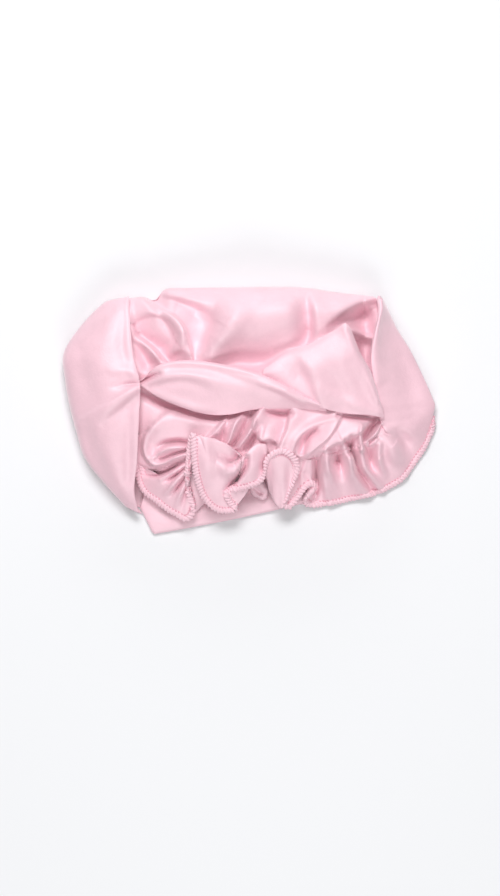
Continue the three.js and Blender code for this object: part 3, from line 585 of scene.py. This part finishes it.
def shaped_line(line, creases, fade):
    """Raises and lowers the upper run of a line by creases."""
    total = sum(crease(line[None, :, :2], *c)[0] for c in creases)
    out = line.copy()
    out[:, 2] += fade * smoothstep(line[:, 2], *CASING_FADE) * total
    return out


def in_metres(grid):
    """Places of the view's grid in the part's frame."""
    g = np.asarray(grid, float)
    x = (g[..., 0] - GRID_MIDDLE[0]) * GRID_STEP[0] + GRID_SHIFT[0]
    y = (GRID_MIDDLE[1] - g[..., 1]) * GRID_STEP[1] + GRID_SHIFT[1]
    return np.stack([x, y, g[..., 2] * MM], -1)


# ---- materials
def new_material(name):
    material = bpy.data.materials.new(name)
    material.use_nodes = True
    tree = material.node_tree
    return material, tree, tree.nodes["Principled BSDF"]


def set_inputs(node, values):
    for name, value in values.items():
        node.inputs[name].default_value = value


def noise(tree, place, scale, detail, roughness=0.5):
    """A cloudy pattern."""
    node = tree.nodes.new("ShaderNodeTexNoise")
    set_inputs(node, {"Scale": scale, "Detail": detail, "Roughness": roughness})
    tree.links.new(place, node.inputs["Vector"])
    return node.outputs["Fac"]


def relief(tree, layers):
    """Bumps laid over each other, each from a pattern with a strength and a depth in metres."""
    normal = None
    for pattern, strength, depth in layers:
        node = tree.nodes.new("ShaderNodeBump")
        set_inputs(node, {"Strength": strength, "Distance": depth})
        tree.links.new(pattern, node.inputs["Height"])
        if normal is not None:
            tree.links.new(normal, node.inputs["Normal"])
        normal = node.outputs["Normal"]
    return normal


def mottled(tree, pattern, tone, low, high):
    """A tone that is a little darker where a pattern is low."""
    ramp = tree.nodes.new("ShaderNodeValToRGB")
    dark, light = ramp.color_ramp.elements
    dark.position = low
    dark.color = (*[c * SHADED for c in tone], 1)
    light.position = high
    light.color = (*tone, 1)
    tree.links.new(pattern, ramp.inputs["Fac"])
    return ramp.outputs["Color"]


def satin(name, tone):
    """Satin: a smooth pink face, a fine diagonal weave, faint cloudiness and small soft wrinkles."""
    material, tree, shader = new_material(name)
    place = tree.nodes.new("ShaderNodeTexCoord")
    threads = tree.nodes.new("ShaderNodeTexWave")
    threads.bands_direction = "DIAGONAL"
    set_inputs(threads, {"Scale": 900, "Distortion": 1.5})
    tree.links.new(place.outputs["UV"], threads.inputs["Vector"])
    stretched = tree.nodes.new("ShaderNodeMapping")
    set_inputs(stretched, {"Scale": (260, 2600, 1)})
    tree.links.new(place.outputs["UV"], stretched.inputs["Vector"])
    streaks = noise(tree, stretched.outputs["Vector"], scale=1, detail=2)
    grain = noise(tree, place.outputs["Object"], scale=1100, detail=1)
    wrinkles = noise(tree, place.outputs["Object"], scale=110, detail=2)
    clouds = noise(tree, place.outputs["Object"], scale=60, detail=6, roughness=0.75)
    normal = relief(tree, [(threads.outputs["Fac"], 0.12, 0.00005), (streaks, 0.35, 0.0001),
                           (grain, 0.5, 0.0002), (wrinkles, 0.35, 0.0008)])
    tree.links.new(mottled(tree, clouds, tone, 0.3, 0.7), shader.inputs["Base Color"])
    tree.links.new(normal, shader.inputs["Normal"])
    set_inputs(shader, {"Roughness": 0.52, "Specular IOR Level": 0.9,
                        "Coat Weight": 0.4, "Coat Roughness": 0.5,
                        "Sheen Weight": 0.5, "Sheen Roughness": 0.35, "Sheen Tint": SHEEN_TONE})
    return material


def thread(name, tone):
    """Fluffy overlock thread."""
    material, tree, shader = new_material(name)
    place = tree.nodes.new("ShaderNodeTexCoord")
    fluff = noise(tree, place.outputs["Object"], scale=1500, detail=2)
    tree.links.new(mottled(tree, fluff, tone, 0, 1), shader.inputs["Base Color"])
    tree.links.new(relief(tree, [(fluff, 0.5, 0.0002)]), shader.inputs["Normal"])
    set_inputs(shader, {"Roughness": 0.75, "Sheen Weight": 0.4})
    return material


SATIN = satin("satin", SATIN_TONE)
THREAD = thread("thread", THREAD_TONE)
# The needle thread's darker pink is painted shade for the shaded gaps at the loops' inner ends
NEEDLE_THREAD_WITH_PAINTED_SHADE = thread("needle_thread_with_painted_shade", NEEDLE_TONE_WITH_PAINTED_SHADE)


# ---- meshes
def add_piece(name, mesh, material, thickness=0):
    """A smooth piece of the bonnet. A thickness in millimetres makes it a sheet."""
    mesh.polygons.foreach_set("use_smooth", [True] * len(mesh.polygons))
    mesh.materials.append(material)
    piece = bpy.data.objects.new(name, mesh)
    bpy.context.scene.collection.objects.link(piece)
    if thickness:
        solid = piece.modifiers.new("cloth", "SOLIDIFY")
        solid.thickness = thickness * MM
        solid.offset = 0
    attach(piece, "root")
    return piece


def satin_piece(name, grid, closed=False, thickness=CLOTH):
    """A piece of satin from a grid of places, with the cloth's own lengths as its UV map."""
    g = in_metres(grid)
    rows, steps = g.shape[:2]
    index = np.arange(rows * steps).reshape(rows, steps)
    row = index if closed else index[:-1]
    next_row = np.roll(index, -1, 0) if closed else index[1:]
    quads = np.stack([row[:, :-1], next_row[:, :-1], next_row[:, 1:], row[:, 1:]], -1).reshape(-1, 4)
    mesh = bpy.data.meshes.new(name)
    mesh.from_pydata(g.reshape(-1, 3).tolist(), [], quads.tolist())
    row_lengths = np.linalg.norm(np.diff(g, axis=0), axis=2).mean(1)
    u = np.repeat(np.concatenate([[0], np.cumsum(row_lengths)]), steps)
    step_lengths = np.linalg.norm(np.diff(g, axis=1), axis=2)
    v = np.concatenate([np.zeros((rows, 1)), np.cumsum(step_lengths, 1)], 1).reshape(-1)
    layer = mesh.uv_layers.new(name="UVMap")
    corners = np.empty(len(mesh.loops), np.int32)
    mesh.loops.foreach_get("vertex_index", corners)
    layer.data.foreach_set("uv", np.stack([u[corners], v[corners]], -1).reshape(-1))
    return add_piece(name, mesh, SATIN, thickness)


def tube_places(centre, wide, thin, half, sides):
    """Rings of places round a line. half is half the tube's width and thickness, in millimetres."""
    angle = circle(sides)[:, None]
    offset = wide[:, None] * np.cos(angle) * half[0] + thin[:, None] * np.sin(angle) * half[1]
    return centre[:, None] + offset * MM


def tube_piece(name, places, material):
    """A closed tube through rings of places."""
    index = np.arange(places.shape[0] * places.shape[1]).reshape(places.shape[:2])
    next_ring = np.roll(index, -1, 0)
    quads = np.stack([index, np.roll(index, -1, 1), np.roll(next_ring, -1, 1), next_ring], -1).reshape(-1, 4)
    mesh = bpy.data.meshes.new(name)
    mesh.from_pydata(places.reshape(-1, 3).tolist(), [], quads.tolist())
    mesh.uv_layers.new(name="UVMap")
    return add_piece(name, mesh, material)


def stitch_faces(base, rings, sides, closed):
    """The faces of one stitch: a tube that closes on itself, or one with an end at each side."""
    faces = []
    for i in range(rings if closed else rings - 1):
        ring, next_ring = base + i * sides, base + (i + 1) % rings * sides
        for j in range(sides):
            k = (j + 1) % sides
            faces.append((ring + j, next_ring + j, next_ring + k, ring + k))
    if not closed:
        end = base + (rings - 1) * sides
        faces.append(tuple(range(base, base + sides)))
        faces.append(tuple(reversed(range(end, end + sides))))
    return faces


def stitch_piece(name, places, faces, material):
    mesh = bpy.data.meshes.new(name)
    mesh.from_pydata(np.array(places).tolist(), [], faces)
    return add_piece(name, mesh, material)


# ---- the ring and the directions across it
ring_line = spline(np.array(RING, float), RING_PLACES, closed=True)
ring_steps = np.linalg.norm((np.roll(ring_line, -1, 0) - ring_line) * PER_PLACE, axis=1)
ring_travel = np.concatenate([[0], np.cumsum(ring_steps)])


def ring_at(corner):
    return ring_line[int(round((corner % len(RING)) / len(RING) * RING_PLACES)) % RING_PLACES]


def gathers(corner):
    """Fine and broad folds that the elastic draws the cloth into, from -1 to 1, in step on both its sides."""
    share = (np.asarray(corner, float) % len(RING)) / len(RING)
    s = np.interp(share, np.linspace(0, 1, len(ring_travel)), ring_travel)
    return uneven_wave(s, *FINE_GATHER), uneven_wave(s, *BROAD_GATHER)


def ruffle_aim(row):
    """The way from the ring to where a line of the ruffle first turns."""
    corner, lap, bend, _ = row
    aim = lap if lap and corner > PETALS_END else bend
    return unit((np.array(aim, float) - ring_at(corner)) * PER_PLACE)


def away_from_ring(corner):
    """The way that the ruffle leaves the ring at a corner, square to the ring."""
    k = next((i for i, row in enumerate(RUFFLE) if row[0] > corner % len(RING)), 0)
    before, after = RUFFLE[k - 1], RUFFLE[k]
    share = ((corner - before[0]) % len(RING)) / ((after[0] - before[0]) % len(RING))
    aim = ruffle_aim(before) * (1 - share) + ruffle_aim(after) * share
    along = unit((ring_at(corner + 0.2) - ring_at(corner - 0.2)) * PER_PLACE)
    return square_to(aim, along)


def beside_ring(corner, out, up):
    """The place some millimetres out from the ring and up."""
    return ring_at(corner) + away_from_ring(corner) * out / PER_PLACE + (0, 0, up)


def tucked(rim, towards, inward, z=LOWEST):
    """The place some millimetres inward of a rim, underneath."""
    x, y = rim[:2] + unit(np.subtract(towards[:2], rim[:2])) * inward / PER_PLACE[:2]
    return np.array([x, y, z])


# ---- the top of the bag
sections = []
for corner, rim, *heights, bulge in BAG:
    start = beside_ring(corner, *TOP_START)
    end = (*rim, 0)
    puff = mixed(start, end, TOP_PUFF, (start[2] + heights[0]) / 2)
    over = [mixed(start, end, share, z) for share, z in zip(BAG_SHARES, heights)]
    under = [tucked(end, start, inward) for inward in TUCK]
    sections.append([start, puff, *over, (*rim, bulge), *under])
top = loft(sections, TOP_GRID)
top[..., 2] = np.maximum(top[..., 2], LOWEST)
corners = spline(np.array([[row[0]] for row in BAG], float), len(top))[:, 0]
strength = np.interp(corners, GATHERED_AT, BAG_GATHERS)
from_ring = travelled(top)
lift = sum(depth * (wave * strength)[:, None] * np.exp(-(from_ring / reach) ** 1.5)
           for wave, (depth, reach) in zip(gathers(corners), TOP_GATHERS))
top = shaped(top, TOP_CREASES, RIM_FADE, smoothstep(from_ring, *RING_FADE))
top = shaped(top, SEAM_CREASES, RIM_FADE, SEAM_STRENGTH)
top += upward_normals(top) * lift[..., None] / PER_PLACE_UPWARD
top[..., 2] = np.maximum(top[..., 2], LOWEST)
crown_top = satin_piece("crown_top", top, thickness=0)

# ---- the flap folded over the left side
sections = []
for west, haunch, crest, east in LEFT:
    rim = (*west, 0)
    under = [tucked(rim, east, inward) for inward in TUCK[::-1]]
    over = [(*west, haunch / 3), mixed(rim, east, FLAP_HAUNCH, haunch), mixed(rim, east, FLAP_MIDDLE, crest)]
    edge = [mixed(east, rim, share, east[2] - drop) for share, drop in FLAP_EDGE]
    sections.append([*under, *over, *edge])
flap = loft(sections, FLAP_GRID)
flap[..., 2] = np.maximum(flap[..., 2], LOWEST)
left_flap = satin_piece("left_flap", shaped(flap, FLAP_CREASES))


# ---- the folds that lie on the top
def rolled_edge(edge, other):
    """Places round an edge that is rolled under, from below up to the upper face."""
    return [mixed(edge, other, share, edge[2] - drop * ROLL) for share, drop in ROLLED_EDGE]


def fold(name, table, size, creases, crest_share):
    """An arch of cloth with both long edges rolled under, highest at a share of its width."""
    sections = []
    for north, crest, south in table:
        rise = mixed(north, south, 0.3 * crest_share, (north[2] + crest) / 2)
        highest = mixed(north, south, crest_share, crest)
        fall = mixed(south, north, 0.4 * (1 - crest_share), south[2] * 0.6 + crest * 0.4)
        sections.append([*rolled_edge(north, south), rise, highest, fall, *rolled_edge(south, north)[::-1]])
    return satin_piece(name, shaped(loft(sections, size), creases))


band = fold("band_fold", BAND, BAND_GRID, BAND_CREASES, BAND_CREST)
facet = fold("facet_fold", FACET, FACET_GRID, FACET_CREASES, FACET_CREST)

# ---- the floor layer and its front fold
west_rim = [row[0] for row in LEFT[::-1]]
north_rim = [row[1] for row in BAG if row[1][0] > west_rim[-1][0]]
rim_line = spline(np.array(west_rim + north_rim, float), FLOOR_RIM_PLACES)
casing_line = [ring_at(corner)[:2] for corner in np.linspace(*FLOOR_CASING)]
front_line = [row[0] for row in UNDER[::-1]]
middle = np.array(FLOOR_MIDDLE)
outline = np.concatenate([mixed(rim_line, middle, FLOOR_INSET), casing_line, front_line])
outline = spline(outline, FLOOR_GRID[0], closed=True)
lines = []
for share in np.linspace(0.02, 1, FLOOR_GRID[1]):
    x, y = mixed(middle, outline, share).T
    ripple = FLOOR_RIPPLE * np.sin(x / 9) * np.sin(y / 11 + 1) * (1 - share)
    lines.append(np.stack([x, y, FLOOR_HEIGHT + ripple], 1))
crown_floor = satin_piece("crown_floor", np.stack(lines, 1), closed=True, thickness=THIN_CLOTH)

sections = []
for edge, inner in UNDER:
    under = [tucked(edge, inner, inward, z) for inward, z in FRONT_FOLD_UNDER]
    over = [mixed((*edge, 0), (*inner, 0), share, z) for share, z in FRONT_FOLD_OVER]
    sections.append([*under, *over])
front_fold = satin_piece("front_fold", shaped(loft(sections, FRONT_FOLD_GRID), UNDER_CREASES))

# ---- the ruffle
sections = []
for corner, lap, bend, hem in RUFFLE:
    start = beside_ring(corner, *RUFFLE_START)
    over = [mixed(start, bend, share) for share in (0.25, 0.5, 0.75)]
    if lap:
        way = np.array([*unit(np.subtract(bend, lap)[:2]), 0])
        over = [lap + way * along + (0, 0, up) for along, up in RUFFLE_LAP]
    sections.append([start, *over, bend, hem])
ruffle_rows = len(RUFFLE) * RUFFLE_ROWS_PER_LINE
frill = loft(sections, (ruffle_rows, RUFFLE_STEPS), closed=True)
corners = spline(np.array([[row[0]] for row in RUFFLE] + [[len(RING)]], float), ruffle_rows + 1)[:-1, 0]
across = np.linspace(0, 1, RUFFLE_STEPS)
strength = np.interp(corners, GATHERED_AT, RUFFLE_GATHERS)
fine, broad = gathers(corners)
pleat = (RUFFLE_FINE * np.outer(fine * strength, (1 - across) ** 2.2)
         + RUFFLE_BROAD * np.outer(broad * strength, np.cos(math.pi * across / 2) ** 0.8 + 0.15 * across))
pleated = upward_normals(frill, closed=True) * pleat[..., None] / PER_PLACE_UPWARD
front = frill[:np.searchsorted(corners, RUFFLE_TURNS_UNDER)]
from_ring = np.linalg.norm((front - front[:, :1]) * PER_PLACE, axis=2)
front[:] = shaped(front, RUFFLE_CREASES + BACK_CREASES, fade=smoothstep(from_ring, *RING_FADE))
front[:] = shaped(front, SEAM_CREASES, fade=SEAM_STRENGTH)
frill += pleated
frill[..., 2] = np.maximum(frill[..., 2], RUFFLE_LOWEST + smoothstep(across, *HEM_RISE))
ruffle = satin_piece("ruffle_frill", frill, closed=True, thickness=THIN_CLOTH)

# ---- two small folds of the ruffle that show below the petals
tuck = satin_piece("ruffle_tuck", loft(RUFFLE_TUCK, SMALL_FOLD_GRID), thickness=THIN_CLOTH)
small_loop = shaped(loft(RUFFLE_LOOP, SMALL_FOLD_GRID), RUFFLE_LOOP_CREASES)
loop_fold = satin_piece("ruffle_loop", small_loop, thickness=THIN_CLOTH)

# ---- the casing, drawn into puckers by its elastic
run = ring_line[::RING_PLACES // CASING_PLACES] - (0, 0, CASING_DROP)
centre = in_metres(shaped_line(run, SEAM_CREASES, SEAM_STRENGTH))
along = unit(np.roll(centre, -1, 0) - np.roll(centre, 1, 0))
ways = [away_from_ring(k * len(RING) / CASING_PLACES) for k in range(CASING_PLACES)]
wide = square_to(np.array(ways) * (1, -1, 1), along)
lengths = np.concatenate([[0], np.cumsum(np.linalg.norm(np.diff(centre, axis=0), axis=1))]) / MM
wave = uneven_wave(lengths, *PUCKER)
puckered = np.cross(along, wide) * (1 + PUCKER_DEPTH * wave)[:, None]
tube = tube_places(centre, wide, puckered, CASING_HALF, CASING_SIDES)
casing = tube_piece("elastic_casing_puckers", tube, SATIN)

# ---- the overlocked hem: a core and a thread looped over it, stitch by stitch
edge = in_metres(frill[:, -1])
edge_steps = np.linalg.norm(np.roll(edge, -1, 0) - edge, axis=1)
travel = np.concatenate([[0], np.cumsum(edge_steps)])
# Two places for each stitch
place_count = 2 * int(travel[-1] / (STITCH * MM))
hem_places = np.arange(place_count) * travel[-1] / place_count


def along_hem(line):
    """A line of the ruffle at the even spacing of the stitches."""
    closed = np.concatenate([line, line[:1]])
    return np.stack([np.interp(hem_places, travel, closed[:, k]) for k in range(3)], 1)


centre = along_hem(edge)
along = unit(np.roll(centre, -2, 0) - np.roll(centre, 2, 0))
out = square_to(centre - along_hem(in_metres(frill[:, -4])), along)
thin = np.cross(along, out)
core = tube_places(centre - out * CORE_INWARD * MM, out, thin, CORE_HALF, CORE_SIDES)
hem_core = tube_piece("hem_core", core, THREAD)

random = np.random.default_rng(SEED)
stitches = list(zip(centre[::2], along[::2], out[::2], thin[::2]))


def varied(mean, spread):
    """A length in metres that differs a little from stitch to stitch."""
    return (mean + spread * random.normal()) * MM


def thread_loops():
    """One thick loop of thread round the hem for each stitch, leaning along it."""
    places, faces = [], []
    for middle, way, outward, up in stitches:
        lean = varied(*LOOP_LEAN)
        reach = varied(*LOOP_REACH)
        girth = varied(*LOOP_GIRTH)
        faces += stitch_faces(len(places), LOOP_TURNS, LOOP_SIDES, closed=True)
        for a in circle(LOOP_TURNS):
            radial = unit(outward * math.cos(a) * LOOP_SLANT + up * math.sin(a))
            at = middle + (outward * reach + way * lean) * math.cos(a) + up * math.sin(a) * LOOP_RISE * MM
            for b in circle(LOOP_SIDES):
                places.append(at + (radial * math.cos(b) * LOOP_FLATNESS + way * math.sin(b)) * girth)
    return places, faces


def needle_runs():
    """The needle thread: one short slanting stitch for each loop, on both faces of the cloth."""
    places, faces = [], []
    for side in (1, -1):
        for middle, way, outward, up in stitches:
            start = middle + (up * side * NEEDLE_RISE - outward * NEEDLE_INWARD) * MM
            faces += stitch_faces(len(places), NEEDLE_STEPS, NEEDLE_SIDES, closed=False)
            for t in np.linspace(-1, 1, NEEDLE_STEPS):
                girth = NEEDLE_GIRTH * MM * math.sqrt(max(1 - t * t, NEEDLE_END))
                slant = (way * NEEDLE_HALF_LENGTH + outward * NEEDLE_SLANT) * t
                at = start + (slant - up * side * NEEDLE_DIP * t * t) * MM
                for b in circle(NEEDLE_SIDES):
                    places.append(at + (outward * math.cos(b) + up * math.sin(b)) * girth)
    return places, faces


hem_stitches = stitch_piece("hem_stitches", *thread_loops(), THREAD)
# Real needle stitches, coloured darker pink as painted shade for the shaded gaps at the loops' inner ends
needle_stitches = stitch_piece("needle_stitches", *needle_runs(), NEEDLE_THREAD_WITH_PAINTED_SHADE)

for piece in (crown_top, left_flap, band, facet, crown_floor, front_fold):
    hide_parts("crown")
for piece in (ruffle, tuck, loop_fold):
    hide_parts("ruffle")
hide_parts("elastic_casing")
for piece in (hem_core, hem_stitches, needle_stitches):
    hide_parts("overlocked_hem")

# ---- the floor, the lights and the camera
bpy.ops.mesh.primitive_plane_add(size=FLOOR_SIZE)
ground = bpy.context.object
ground.name = "stage_floor"
stage_material, _, shader = new_material("stage")
set_inputs(shader, {"Base Color": FLOOR_TONE, "Roughness": 0.9})
ground.data.materials.append(stage_material)

for name, (place, size, watts) in LIGHTS.items():
    lamp = bpy.data.lights.new(name, "AREA")
    lamp.shape = "RECTANGLE"
    lamp.size, lamp.size_y = size
    lamp.energy = watts
    holder = bpy.data.objects.new(name, lamp)
    bpy.context.scene.collection.objects.link(holder)
    holder.location = place
    holder.rotation_euler = (Vector(LIGHT_AIM) - Vector(place)).to_track_quat("-Z", "Y").to_euler()

world = bpy.data.worlds.new("studio")
bpy.context.scene.world = world
world.use_nodes = True
set_inputs(world.node_tree.nodes["Background"], {"Color": WORLD_TONE, "Strength": WORLD_STRENGTH})
bpy.context.scene.view_settings.view_transform = "Standard"

eye = bpy.data.cameras.new("camera")
eye.lens = FILM_WIDTH * VIEW_DISTANCE / VIEW_WIDTH
camera = bpy.data.objects.new("camera", eye)
bpy.context.scene.collection.objects.link(camera)
camera.location = CAMERA_PLACE
bpy.context.scene.camera = camera
